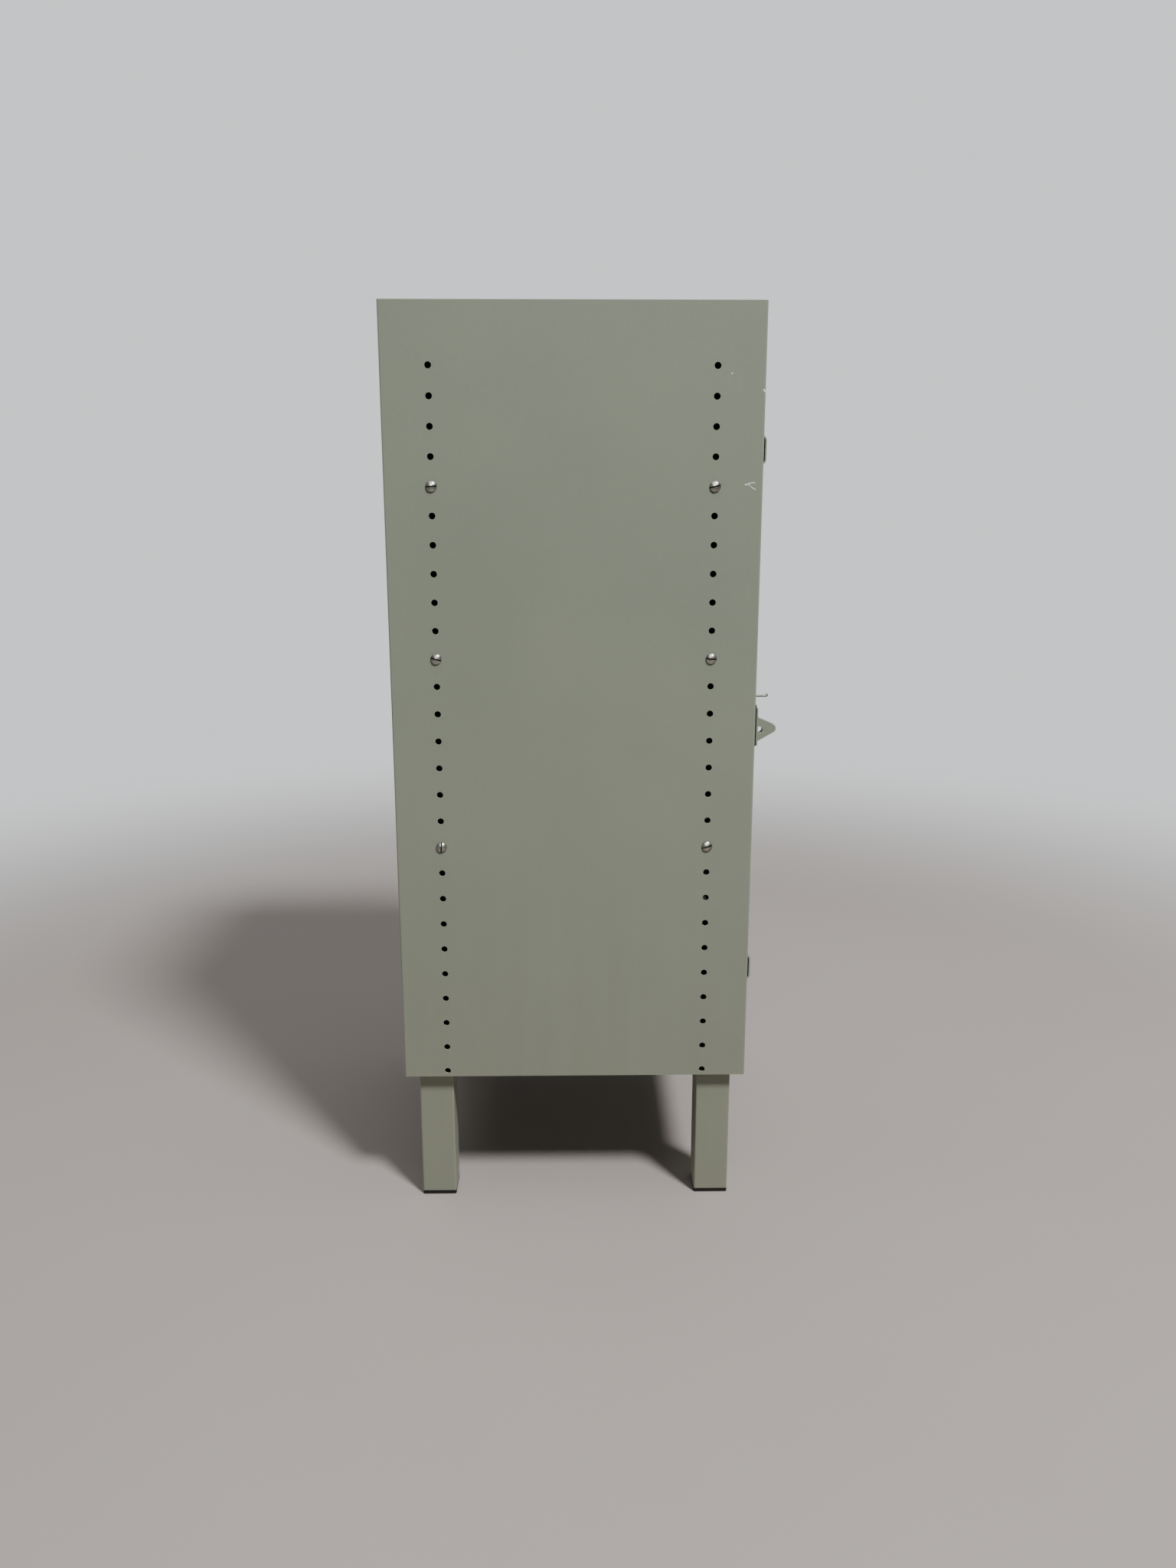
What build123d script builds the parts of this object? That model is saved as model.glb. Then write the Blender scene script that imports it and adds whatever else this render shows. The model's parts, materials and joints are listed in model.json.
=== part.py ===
from build123d import *
import os

# Steel cabinet on four legs: one door with a slide bolt and padlock ears, three screwed-in shelves.
# Millimetres. +X is the cabinet's right, -Y its front, +Z up, with the floor at Z = 0.

# Body
body_width = 400.0
body_depth = 396.0
body_height = 850.0
leg_clear = 160.0

# Folded sheet: thickness, inside radius of a fold, and the folds round the door opening
sheet = 1.5
bend = 0.5
stile_face = 30.0
top_rail_face = 40.0
bottom_rail_face = 30.0
strike_depth = 18.5
strike_lip = 12.0
back_flange = 15.0
panel_flange = 20.0
flange_setback = 26.0
corner_room = 1.5

# Shelf holes in the side panels
hole_dia = 7.0
hole_pitch = 30.0
hole_top = 63.0
hole_edge = 50.0
hole_bottom_margin = 5.0

# Shelves and the hole row that each one hangs on, counted from the top
shelf_rows = {"upper": 4, "middle": 10, "lower": 17}
shelf_flange = 25.0
shelf_front_gap = 5.5
shelf_back_gap = 2.0

# Slotted dome-head screws and hex nuts of the shelves
screw_dia = 6.0
screw_head_dia = 11.6
screw_head_height = 3.4
screw_head_rim = 0.9
slot_width = 1.5
slot_depth = 1.6
screw_tip = 2.0
nut_flats = 10.0
nut_height = 5.0
thread_clear = 0.05
slot_angles = {"upper": (4, 20, -30, 65), "middle": (-10, 25, 80, 5), "lower": (86, 18, 40, -55)}

# Legs of square tube, with a bolted plate on top and a cap below
leg_tube = 40.0
leg_wall = 2.0
leg_side_recess = 12.0
leg_end_inset = 15.0
leg_plate = 70.0
leg_plate_thick = 4.0
leg_bolt_dia = 8.0
leg_bolt_room = 0.5
leg_bolt_head_flats = 13.0
leg_bolt_head = 5.5
leg_nut_height = 6.5
leg_bolt_tip = 2.0
cap_rim = 5.0
cap_plug = 14.0
cap_clear = 0.2
cap_chamfer = 0.8

# Door pan
door_gap = 2.0
hinge_gap = 4.0
door_depth = 16.0
door_return = 12.0
stiffener_from_hinge = 130.0
stiffener_crown = 30.0
stiffener_foot = 12.0
stiffener_depth = 13.0
stiffener_vent_gap = 25.0

# Bridge vents: rows of arched strips pressed out of the door, open at both sides
vent_height = 35.0
vent_reach = 9.0
vent_slope = 4.0
vent_corner = 6.0
vent_width = 18.0
vent_count = 12
vent_edge = 8.0
vent_top_drop = 102.0
vent_bottom_rise = 85.5

# Hinges with knuckles in front of the door's face
hinge_height = 70.0
hinge_end_gap = 110.0
hinge_sheet = 1.5
knuckle_dia = 8.0
knuckle_face_gap = 0.5
knuckle_end_gap = 0.4
leaf_front_gap = 0.5
leaf_depth = 15.0
pin_dia = 5.0
pin_clear = 0.05
pin_head_dia = 7.4
pin_head = 1.8
pin_head_chamfer = 0.6

# Padlock ears, one on the frame and one on the door
lock_height = 411.3
ear_sheet = 2.0
ear_bend = 1.0
ear_reach = 27.2
ear_tip_radius = 5.0
ear_root = 30.5
ear_tip_rise = 16.8
ear_hole_rise = 15.4
ear_flange_width = 15.5
ear_flange_height = 41.5
ear_flange_rise = 1.0
ear_setback = 1.0
ear_gap = 5.0
ear_hole_dia = 7.2
ear_hole_room = 0.2
pad_thick = 3.0
pad_height = 46.7
pad_border = 1.0
pad_corner = 2.5
rivet_dia = 3.2
rivet_head_dia = 6.0
rivet_head = 1.4
rivet_tail = 1.2
rivet_edge = 5.0
rivet_room = 0.05

# Flat slide bolt with its thumb tab, and the guides it runs in
tab_rise = 27.7
tab_width = 9.0
tab_reach = 21.5
tab_corner = 3.0
tab_lip = 2.0
tab_lip_rise = 1.6
tab_lip_bend = 1.0
tab_edge_room = 2.0
bolt_sheet = 1.5
bolt_width = 8.0
bolt_front_gap = 4.5
bolt_travel = 12.0
bolt_clear = 0.3
bolt_nose_inset = 0.7
bolt_nose_chamfer = 2.0
bolt_tail = 3.0
guide_height = 16.0
guide_foot = 10.0
guide_first_gap = 8.0
guide_spacing = 28.0
guide_depth = 13.5

# Rubber buffers behind the door's free edge
buffer_dia = 8.0
buffer_gap = 0.3
buffer_end_gap = 60.0

# Planes worked out from the sizes above
left = -body_width / 2
right = body_width / 2
front = ear_reach / 2 - body_depth / 2
back = front + body_depth
bottom = leg_clear
top = leg_clear + body_height
inner_half = body_width / 2 - sheet
opening_half = body_width / 2 - stile_face
opening_bottom = bottom + bottom_rail_face
opening_top = top - top_rail_face
strike = front + strike_depth
door_left = -opening_half + door_gap
door_right = opening_half - hinge_gap
door_bottom = opening_bottom + door_gap
door_top = opening_top - door_gap
door_back = front + door_depth
door_inside = front + sheet
back_panel_face = back - 2 * sheet
hole_columns = (front + hole_edge, back - hole_edge)
hole_rows = int((body_height - hole_top - hole_bottom_margin) // hole_pitch) + 1
lock_z = bottom + lock_height
bolt_z = lock_z + tab_rise
upper_vent_z = door_top - vent_top_drop
lower_vent_z = door_bottom + vent_bottom_rise
outside_fold = bend + sheet
inside_fold = bend


def row_z(row):
    """Height of a row of shelf holes."""
    return top - hole_top - row * hole_pitch


def block(x, y, z):
    """Rectangular block between two places along each axis."""
    size = (x[1] - x[0], y[1] - y[0], z[1] - z[0])
    return Pos((x[0] + x[1]) / 2, (y[0] + y[1]) / 2, (z[0] + z[1]) / 2) * Box(*size)


def along_x(face, x0, x1):
    """Solid of a (y, z) face from x0 to x1."""
    plane = Plane(origin=(x0, 0, 0), x_dir=(0, 1, 0), z_dir=(1, 0, 0))
    return extrude(plane * face, amount=x1 - x0, dir=(1, 0, 0))


def along_y(face, y0, y1):
    """Solid of an (x, z) face from y0 to y1."""
    plane = Plane(origin=(0, y0, 0), x_dir=(1, 0, 0), z_dir=(0, -1, 0))
    return extrude(plane * face, amount=y1 - y0, dir=(0, 1, 0))


def along_z(face, z0, z1):
    """Solid of an (x, y) face from z0 to z1."""
    return extrude(Pos(0, 0, z0) * face, amount=z1 - z0, dir=(0, 0, 1))


def folded(points, radii, side=Side.LEFT, thickness=sheet):
    """Cross-section of a folded sheet whose skin runs through the points, with the sheet on one side."""
    skin = FilletPolyline(*points, radius=radii)
    return make_face(offset(skin, amount=thickness, side=side).edges())


def pan(face, opening):
    """Sheet pan: the edges round one face of a block are folded, and the opposite face is left open."""
    opening_centre = opening.center()
    solid = fillet(face.edges(), outside_fold)
    open_face = solid.faces().sort_by_distance(opening_centre)[0]
    return offset(solid, amount=-sheet, openings=open_face)


def shelf_holes(x0, x1):
    """Both columns of shelf holes as cylinders from x0 to x1."""
    outline = Circle(hole_dia / 2)
    rows = [row_z(row) for row in range(hole_rows)]
    return [along_x(Pos(y, z) * outline, x0, x1) for y in hole_columns for z in rows]


def side_panel():
    """Left side: back flange, web, front face, return and strike lip folded from one sheet."""
    skin = [
        (left + back_flange, back),
        (left, back),
        (left, front),
        (-opening_half, front),
        (-opening_half, strike),
        (-opening_half + strike_lip, strike),
    ]
    profile = folded(skin, [outside_fold, outside_fold, outside_fold, inside_fold])
    panel = along_z(profile, bottom, top)
    panel -= [cross_panel(bottom, bottom + sheet), cross_panel(top - sheet, top)]
    return panel - shelf_holes(left - sheet, left + 2 * sheet)


def cross_panel(z0, z1):
    """Flat sheet that closes the body between its side panels."""
    return block((-inner_half, inner_half), (front + sheet, back - sheet), (z0, z1))


def bolt_keeper():
    """Slot in the left return that takes the nose of the slide bolt."""
    room = 2 * bolt_clear
    depth = (front + bolt_front_gap - room, front + bolt_front_gap + bolt_width + room)
    return block(
        (-opening_half - 2 * sheet, -opening_half + sheet),
        depth,
        (bolt_z - bolt_sheet / 2 - room, bolt_z + bolt_sheet / 2 + room),
    )


def left_side_panel():
    """Left side with the keeper slot and the rivet holes of the padlock ear."""
    return side_panel() - bolt_keeper() - rivets(rivet_x(frame_ear_x, 1), rivet_room)


def right_side_panel():
    """Right side, the plain mirror image of the left one."""
    return mirror(side_panel(), about=Plane.YZ)


def tray(z_skin, flange_end):
    """Top or floor sheet with a flange along each side panel, pierced where a shelf hole meets it."""
    skin = [
        (-inner_half, flange_end),
        (-inner_half, z_skin),
        (inner_half, z_skin),
        (inner_half, flange_end),
    ]
    side = Side.LEFT if flange_end > z_skin else Side.RIGHT
    profile = folded(skin, outside_fold, side)
    body = along_y(profile, front + flange_setback, back - flange_setback)
    flange_x = (inner_half - 2 * sheet, inner_half + sheet)
    return body - shelf_holes(*flange_x) - shelf_holes(-flange_x[1], -flange_x[0])


def top_panel():
    """Flat top between the sides, its flanges turned down."""
    return cross_panel(top - sheet, top) + tray(top, top - panel_flange)


def leg_places():
    """Outer corner of each leg, with the directions that point inwards from it."""
    x = body_width / 2 - leg_side_recess
    y_front = front + leg_end_inset
    y_rear = back - leg_end_inset
    return {
        "front_left": (-x, y_front, 1, 1),
        "front_right": (x, y_front, -1, 1),
        "rear_left": (-x, y_rear, 1, -1),
        "rear_right": (x, y_rear, -1, -1),
    }


def leg_bolt_places():
    """Axes of the bolts, two in the free corner of each leg plate."""
    free = leg_tube + (leg_plate - leg_tube) / 2
    places = []
    for x, y, dx, dy in leg_places().values():
        places.append((x + dx * free, y + dy * leg_tube / 2))
        places.append((x + dx * leg_tube / 2, y + dy * free))
    return places


def leg_bolt_holes(z0, z1):
    """Clearance holes of the leg bolts."""
    radius = (leg_bolt_dia + leg_bolt_room) / 2
    height = z1 - z0
    return [Pos(x, y, (z0 + z1) / 2) * Cylinder(radius, height) for x, y in leg_bolt_places()]


def floor_panel():
    """Flat floor between the sides, its flanges turned up, with holes for the leg bolts."""
    panel = cross_panel(bottom, bottom + sheet) + tray(bottom, bottom + panel_flange)
    return panel - leg_bolt_holes(bottom - sheet, bottom + 2 * sheet)


def back_panel():
    """Flat sheet against the back flanges of the sides."""
    half = inner_half - corner_room
    return block((-half, half), (back_panel_face, back - sheet), (bottom + sheet, top - sheet))


def rail(edge_z, opening_z, lip_end, side):
    """Front rail: face, return and strike lip, with the lip stopping short of the stiles' lips."""
    skin = [(front, edge_z), (front, opening_z), (strike, opening_z), (strike, lip_end)]
    full = folded(skin, [outside_fold, inside_fold], side)
    skin = [(front, edge_z), (front, opening_z), (strike - corner_room, opening_z)]
    short = folded(skin, outside_fold, side)
    lip_half = opening_half - strike_lip
    return along_x(short, -opening_half, opening_half) + along_x(full, -lip_half, lip_half)


def top_rail():
    """Rail above the door."""
    return rail(top, opening_top, opening_top - strike_lip, Side.LEFT)


def bottom_rail():
    """Rail below the door."""
    return rail(bottom, opening_bottom, opening_bottom + strike_lip, Side.RIGHT)


def shelf(row):
    """Shelf with its four edges turned down, screwed through its side flanges."""
    shelf_top = row_z(row) + shelf_flange / 2
    shelf_under = shelf_top - shelf_flange
    shelf_front = strike + sheet + shelf_front_gap
    shelf_back = back_panel_face - shelf_back_gap
    body = block((-inner_half, inner_half), (shelf_front, shelf_back), (shelf_under, shelf_top))
    under, *_, upper = body.faces().sort_by(Axis.Z)
    body = pan(upper, under)
    holes = []
    for y in hole_columns:
        place = Plane(origin=(0, y, row_z(row)), z_dir=(1, 0, 0))
        holes.append(place * Cylinder(hole_dia / 2, body_width))
    return body - holes


def screw(slot_angle):
    """Dome-head screw along +Z, its seat at Z = 0 and its shank below."""
    length = 2 * sheet + nut_height + screw_tip
    rim = screw_head_dia / 2
    dome = screw_head_height - screw_head_rim
    dome_radius = (rim**2 + dome**2) / (2 * dome)
    ball = Pos(0, 0, screw_head_height - dome_radius) * Sphere(dome_radius)
    head = extrude(Circle(rim), amount=screw_head_height) & ball
    slot = Pos(0, 0, screw_head_height) * Box(screw_head_dia, slot_width, 2 * slot_depth)
    head -= Rot(0, 0, slot_angle) * slot
    return head + extrude(Circle(screw_dia / 2), amount=-length)


def shelf_screws(name):
    """Four screws of one shelf: rear and front on the left, then rear and front on the right."""
    z = row_z(shelf_rows[name])
    front_y, rear_y = hole_columns
    seats = [(left, rear_y), (left, front_y), (right, rear_y), (right, front_y)]
    screws = []
    for (x, y), angle in zip(seats, slot_angles[name]):
        outward = 1 if x > 0 else -1
        place = Plane(origin=(x, y, z), x_dir=(0, outward, 0), z_dir=(outward, 0, 0))
        screws.append(place * screw(angle))
    return screws


def hex_nut(flats, height, bore):
    """Hexagon nut standing on Z = 0."""
    outline = RegularPolygon(flats / 2, 6, major_radius=False) - Circle(bore)
    return extrude(outline, amount=height)


def shelf_nuts(name):
    """Four nuts behind the flanges of one shelf."""
    z = row_z(shelf_rows[name])
    nuts = []
    for y in hole_columns:
        for inward in (1, -1):
            seat = -inward * (inner_half - sheet)
            place = Plane(origin=(seat, y, z), x_dir=(0, 1, 0), z_dir=(inward, 0, 0))
            nuts.append(place * hex_nut(nut_flats, nut_height, screw_dia / 2 + thread_clear))
    return nuts


def leg(place):
    """Square tube from its cap up to its plate."""
    x, y, dx, dy = place
    centre = Pos(x + dx * leg_tube / 2, y + dy * leg_tube / 2)
    bore = leg_tube - 2 * leg_wall
    outer = RectangleRounded(leg_tube, leg_tube, leg_wall)
    section = outer - RectangleRounded(bore, bore, leg_wall / 2)
    return along_z(centre * section, cap_rim, bottom - leg_plate_thick)


def leg_top_plate(place, holes):
    """Plate on top of a leg, reaching inwards from the tube's two outer faces."""
    x, y, dx, dy = place
    centre = Pos(x + dx * leg_plate / 2, y + dy * leg_plate / 2)
    outline = centre * RectangleRounded(leg_plate, leg_plate, leg_wall)
    return along_z(outline, bottom - leg_plate_thick, bottom) - holes


def foot_cap(place):
    """Plastic cap: a rim under the tube and a plug inside it."""
    x, y, dx, dy = place
    centre = Pos(x + dx * leg_tube / 2, y + dy * leg_tube / 2)
    rim = extrude(RectangleRounded(leg_tube, leg_tube, leg_wall), amount=cap_rim)
    rim = chamfer(rim.edges().group_by(Axis.Z)[0], cap_chamfer)
    plug_size = leg_tube - 2 * leg_wall - 2 * cap_clear
    plug = extrude(RectangleRounded(plug_size, plug_size, leg_wall / 2), amount=cap_rim + cap_plug)
    return centre * (rim + plug)


def leg_bolt():
    """Hex bolt pointing up, its head's upper face at Z = 0."""
    length = leg_plate_thick + sheet + leg_nut_height + leg_bolt_tip
    hexagon = RegularPolygon(leg_bolt_head_flats / 2, 6, major_radius=False)
    shank = extrude(Circle(leg_bolt_dia / 2), amount=length)
    return extrude(hexagon, amount=-leg_bolt_head) + shank


def leg_bolts():
    """All leg bolts, heads under the leg plates."""
    return [Pos(x, y, bottom - leg_plate_thick) * leg_bolt() for x, y in leg_bolt_places()]


def leg_nuts():
    """All leg nuts, on the floor panel inside the body."""
    nut = hex_nut(leg_bolt_head_flats, leg_nut_height, leg_bolt_dia / 2 + thread_clear)
    return [Pos(x, y, bottom + sheet) * nut for x, y in leg_bolt_places()]


hinge_x = (opening_half + door_right) / 2
hinge_y = front - knuckle_dia / 2 - knuckle_face_gap
hinge_middles = {"upper": door_top - hinge_end_gap, "lower": door_bottom + hinge_end_gap}


def hinge_leaf(plate_x, spans, z_middle):
    """Hinge leaf: a plate in the hinge gap with knuckles rolled round the pin over the given spans."""
    z0 = z_middle - hinge_height / 2
    plate_y = (front + leaf_front_gap, front + leaf_front_gap + leaf_depth)
    body = block(plate_x, plate_y, (z0, z0 + hinge_height))
    tang = Pos(sum(plate_x) / 2, (hinge_y + plate_y[1]) / 2)
    tang *= Rectangle(hinge_sheet, plate_y[1] - hinge_y)
    section = Pos(hinge_x, hinge_y) * Circle(knuckle_dia / 2) + tang
    for start, end in spans:
        body += along_z(section, z0 + start, z0 + end)
    bore = Pos(hinge_x, hinge_y, z_middle) * Cylinder(pin_dia / 2 + pin_clear, 2 * hinge_height)
    return body - bore


knuckle = (hinge_height - 2 * knuckle_end_gap) / 3


def hinge_frame_leaf(z_middle):
    """Leaf on the stile, with the two outer knuckles."""
    plate_x = (opening_half - hinge_sheet, opening_half)
    return hinge_leaf(plate_x, [(0, knuckle), (hinge_height - knuckle, hinge_height)], z_middle)


def hinge_door_leaf(z_middle):
    """Leaf on the door's edge, with the middle knuckle."""
    plate_x = (door_right, door_right + hinge_sheet)
    start = knuckle + knuckle_end_gap
    return hinge_leaf(plate_x, [(start, hinge_height - start)], z_middle)


def hinge_pin(z_middle):
    """Pin with a flat round head on the upper knuckle."""
    place = Pos(hinge_x, hinge_y, z_middle - hinge_height / 2)
    head = Pos(0, 0, hinge_height) * extrude(Circle(pin_head_dia / 2), amount=pin_head)
    head = chamfer(head.edges().group_by(Axis.Z)[-1], pin_head_chamfer)
    return place * (extrude(Circle(pin_dia / 2), amount=hinge_height) + head)


flange_bottom = lock_z - pad_height / 2 + ear_flange_rise
flange_seat = front - pad_thick
flange_face = flange_seat - ear_sheet
ear_hole_z = flange_bottom + ear_hole_rise
ear_hole_y = flange_face - ear_hole_dia / 2 - ear_hole_room
frame_ear_x = -opening_half - ear_setback
door_ear_x = frame_ear_x + ear_gap


def padlock_ear(bend_x, inward):
    """Ear bracket: a flange over the pad and an ear with the padlock hole, folded at bend_x."""
    flange_end = bend_x - inward * ear_flange_width
    skin = [(flange_end, flange_seat), (bend_x, flange_seat), (bend_x, front - ear_reach)]
    side = Side.RIGHT if inward > 0 else Side.LEFT
    profile = folded(skin, ear_bend + ear_sheet, side, ear_sheet)
    strip = along_z(profile, flange_bottom, flange_bottom + ear_flange_height)
    tip = Pos(front - ear_reach + ear_tip_radius, flange_bottom + ear_tip_rise) * Circle(ear_tip_radius)
    root = Line((flange_seat, flange_bottom), (flange_seat, flange_bottom + ear_root))
    hole = Pos(ear_hole_y, ear_hole_z) * Circle(ear_hole_dia / 2)
    ear = make_hull(tip.edges() + root.edges()) - hole
    flange_middle = Pos(flange_seat - ear_sheet / 2, flange_bottom + ear_flange_height / 2)
    flange = flange_middle * Rectangle(ear_sheet, ear_flange_height)
    bracket = strip & along_x(flange + ear, *sorted((flange_end, bend_x)))
    return bracket - rivets(rivet_x(bend_x, inward), rivet_room)


def rivet_x(bend_x, inward):
    """Middle of the free part of an ear's flange."""
    return bend_x - inward * (ear_flange_width + ear_sheet) / 2


def rivet(x, z, room):
    """Flush rivet through flange, pad and sheet, with a flat head closed behind the sheet."""
    shank = rivet_dia / 2 + room
    rim = rivet_head_dia / 2 + room
    depth = ear_sheet + pad_thick + sheet
    outline = Polyline(
        (0, 0),
        (rim, 0),
        (shank, rivet_head),
        (shank, depth),
        (rim, depth),
        (rim, depth + rivet_tail),
        (0, depth + rivet_tail),
        close=True,
    )
    body = revolve(Plane.XY * make_face(outline.edges()), axis=Axis.Y)
    return Pos(x, flange_face, z) * body


def rivets(x, room=0.0):
    """Two rivets of one padlock ear, or the holes for them where room is given."""
    low = flange_bottom + rivet_edge
    high = flange_bottom + ear_flange_height - rivet_edge
    return [rivet(x, low, room), rivet(x, high, room)]


def ear_pad(bend_x, inward):
    """Black pad between an ear's flange and the painted sheet."""
    outer = bend_x - inward * (ear_flange_width + pad_border)
    width = ear_flange_width + pad_border
    outline = Pos((bend_x + outer) / 2, lock_z) * RectangleRounded(width, pad_height, pad_corner)
    return along_y(outline, flange_seat, front) - rivets(rivet_x(bend_x, inward), rivet_room)


def bridge_vent(x, z):
    """Arched strip of one vent: sloping feet that start in the door's face, and a crown between them."""
    crown = vent_height / 2 - vent_slope
    foot = vent_height / 2 + vent_slope * sheet / vent_reach
    skin = [
        (door_inside, z - foot),
        (front - vent_reach, z - crown),
        (front - vent_reach, z + crown),
        (door_inside, z + foot),
    ]
    strip = folded(skin, vent_corner, Side.RIGHT)
    keep = Pos(door_inside - vent_reach, z) * Rectangle(2 * vent_reach, 2 * vent_height)
    return along_x(strip & keep, x - vent_width / 2, x + vent_width / 2)


def vent_slot(x, z):
    """Opening in the door's face behind one vent."""
    return block(
        (x - vent_width / 2, x + vent_width / 2),
        (front - sheet, front + 2 * sheet),
        (z - vent_height / 2, z + vent_height / 2),
    )


def vent_places():
    """Middles of all vents, a row at the top of the door and a row at its bottom."""
    first = door_left + vent_edge + vent_width / 2
    last = door_right - vent_edge - vent_width / 2
    step = (last - first) / (vent_count - 1)
    return [(first + step * i, z) for z in (upper_vent_z, lower_vent_z) for i in range(vent_count)]


tab_x = door_left + sheet + tab_edge_room + bolt_travel
tab_middle_x = tab_x + tab_width / 2


def bolt_cuts():
    """Slit in the door's face for the thumb tab, and slot in its edge for the bolt's nose."""
    z = (bolt_z - bolt_sheet / 2 - bolt_clear, bolt_z + bolt_sheet / 2 + bolt_clear)
    slit_x = (tab_x - bolt_travel - bolt_clear, tab_x + tab_width + bolt_clear)
    slit = block(slit_x, (front - sheet, front + 2 * sheet), z)
    nose_y = (front + bolt_front_gap - bolt_clear, front + bolt_front_gap + bolt_width + bolt_clear)
    nose = block((door_left - sheet, door_left + 2 * sheet), nose_y, z)
    return [slit, nose]


def door_panel():
    """Door pan: face, edges and side returns, with the bridge vents pressed out of the face."""
    body = block((door_left, door_right), (front, door_back), (door_bottom, door_top))
    face, *_, opening = body.faces().sort_by(Axis.Y)
    body = pan(face, opening)
    for edge, inner in ((door_left, door_left + door_return), (door_right, door_right - door_return)):
        body += block(sorted((edge, inner)), (door_back - sheet, door_back), (door_bottom, door_top))
    body -= [vent_slot(x, z) for x, z in vent_places()]
    body += [bridge_vent(x, z) for x, z in vent_places()]
    return body - bolt_cuts() - rivets(rivet_x(door_ear_x, -1), rivet_room)


def door_stiffener():
    """Hat-section stiffener up the inside of the door, between the vent rows."""
    middle = door_right - stiffener_from_hinge
    half = stiffener_crown / 2
    crown = front + stiffener_depth
    skin = [
        (middle - half - stiffener_foot, door_inside),
        (middle - half, door_inside),
        (middle - half, crown),
        (middle + half, crown),
        (middle + half, door_inside),
        (middle + half + stiffener_foot, door_inside),
    ]
    profile = folded(skin, [outside_fold, inside_fold, inside_fold, outside_fold])
    reach = vent_height / 2 + stiffener_vent_gap
    return along_z(profile, lower_vent_z + reach, upper_vent_z - reach)


guide_xs = (tab_x + tab_width + guide_first_gap, tab_x + tab_width + guide_first_gap + guide_spacing)


def slide_bolt():
    """Flat bolt: bar, pointed nose and rounded thumb tab with a turned-up lip, all of one plate."""
    nose_x = door_left + bolt_nose_inset
    end_x = guide_xs[1] + sheet + bolt_travel + bolt_tail
    bar_y = front + bolt_front_gap
    bar = Pos((nose_x + end_x) / 2, bar_y + bolt_width / 2) * Rectangle(end_x - nose_x, bolt_width)
    bar = chamfer(bar.vertices().sort_by(Axis.X)[:2], bolt_nose_chamfer)
    under = bolt_z - bolt_sheet / 2
    tip_y = front - tab_reach
    tab_length = tab_reach + bolt_front_gap + bolt_width / 2
    skin = [(tip_y + tab_length, under), (tip_y + tab_lip, under), (tip_y, under + tab_lip_rise)]
    profile = folded(skin, tab_lip_bend + bolt_sheet, Side.RIGHT, bolt_sheet)
    outline = Pos(tab_middle_x, tip_y + tab_length / 2) * Rectangle(tab_width, tab_length)
    outline = fillet(outline.vertices().sort_by(Axis.Y)[:2], tab_corner)
    tab = along_x(profile, tab_x, tab_x + tab_width) & along_z(outline, under, under + tab_width)
    return along_z(bar, under, under + bolt_sheet) + tab


def bolt_guide(x):
    """Angle bracket on the door's inner face with a slot for the bolt."""
    skin = [
        (x + sheet + guide_foot, door_inside + sheet),
        (x + sheet, door_inside + sheet),
        (x + sheet, front + guide_depth),
    ]
    profile = folded(skin, inside_fold)
    bracket = along_z(profile, bolt_z - guide_height / 2, bolt_z + guide_height / 2)
    slot = block(
        (x - sheet, x + 2 * sheet),
        (front + bolt_front_gap - bolt_clear, front + bolt_front_gap + bolt_width + bolt_clear),
        (bolt_z - bolt_sheet / 2 - bolt_clear, bolt_z + bolt_sheet / 2 + bolt_clear),
    )
    return bracket - slot


def door_buffers():
    """Two rubber discs on the left strike lip, just clear of the closed door."""
    face = door_back + buffer_gap
    x = -opening_half + strike_lip / 2
    discs = []
    for z in (door_bottom + buffer_end_gap, door_top - buffer_end_gap):
        discs.append(along_y(Pos(x, z) * Circle(buffer_dia / 2), face, strike))
    return discs


# All pieces by name
pieces = {
    "left_side_panel": left_side_panel(),
    "right_side_panel": right_side_panel(),
    "top_panel": top_panel(),
    "floor_panel": floor_panel(),
    "back_panel": back_panel(),
    "top_rail": top_rail(),
    "bottom_rail": bottom_rail(),
    "leg_bolts": leg_bolts(),
    "leg_nuts": leg_nuts(),
    "frame_padlock_ear": padlock_ear(frame_ear_x, 1),
    "frame_ear_pad": ear_pad(frame_ear_x, 1),
    "frame_ear_rivets": rivets(rivet_x(frame_ear_x, 1)),
    "door_buffers": door_buffers(),
    "door_panel": door_panel(),
    "door_stiffener": door_stiffener(),
    "door_padlock_ear": padlock_ear(door_ear_x, -1),
    "door_ear_pad": ear_pad(door_ear_x, -1),
    "door_ear_rivets": rivets(rivet_x(door_ear_x, -1)),
    "bolt_guides": [bolt_guide(x) for x in guide_xs],
    "slide_bolt": slide_bolt(),
}
for name, row in shelf_rows.items():
    pieces[f"shelf_{name}"] = shelf(row)
    pieces[f"shelf_{name}_screws"] = shelf_screws(name)
    pieces[f"shelf_{name}_nuts"] = shelf_nuts(name)
plate_holes = leg_bolt_holes(bottom - 2 * leg_plate_thick, bottom + sheet)
for name, place in leg_places().items():
    pieces[f"leg_{name}"] = leg(place)
    pieces[f"leg_plate_{name}"] = leg_top_plate(place, plate_holes)
    pieces[f"foot_cap_{name}"] = foot_cap(place)
for name, z_middle in hinge_middles.items():
    pieces[f"hinge_frame_leaf_{name}"] = hinge_frame_leaf(z_middle)
    pieces[f"hinge_door_leaf_{name}"] = hinge_door_leaf(z_middle)
    pieces[f"hinge_pin_{name}"] = hinge_pin(z_middle)

# One file for each piece
os.makedirs("parts", exist_ok=True)
for name, piece in pieces.items():
    shape = Compound(children=piece) if isinstance(piece, list) else piece
    export_step(shape, f"parts/{name}.step")
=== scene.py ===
import json
import math

import bmesh
import bpy
from mathutils import Euler, Matrix, Vector


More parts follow.
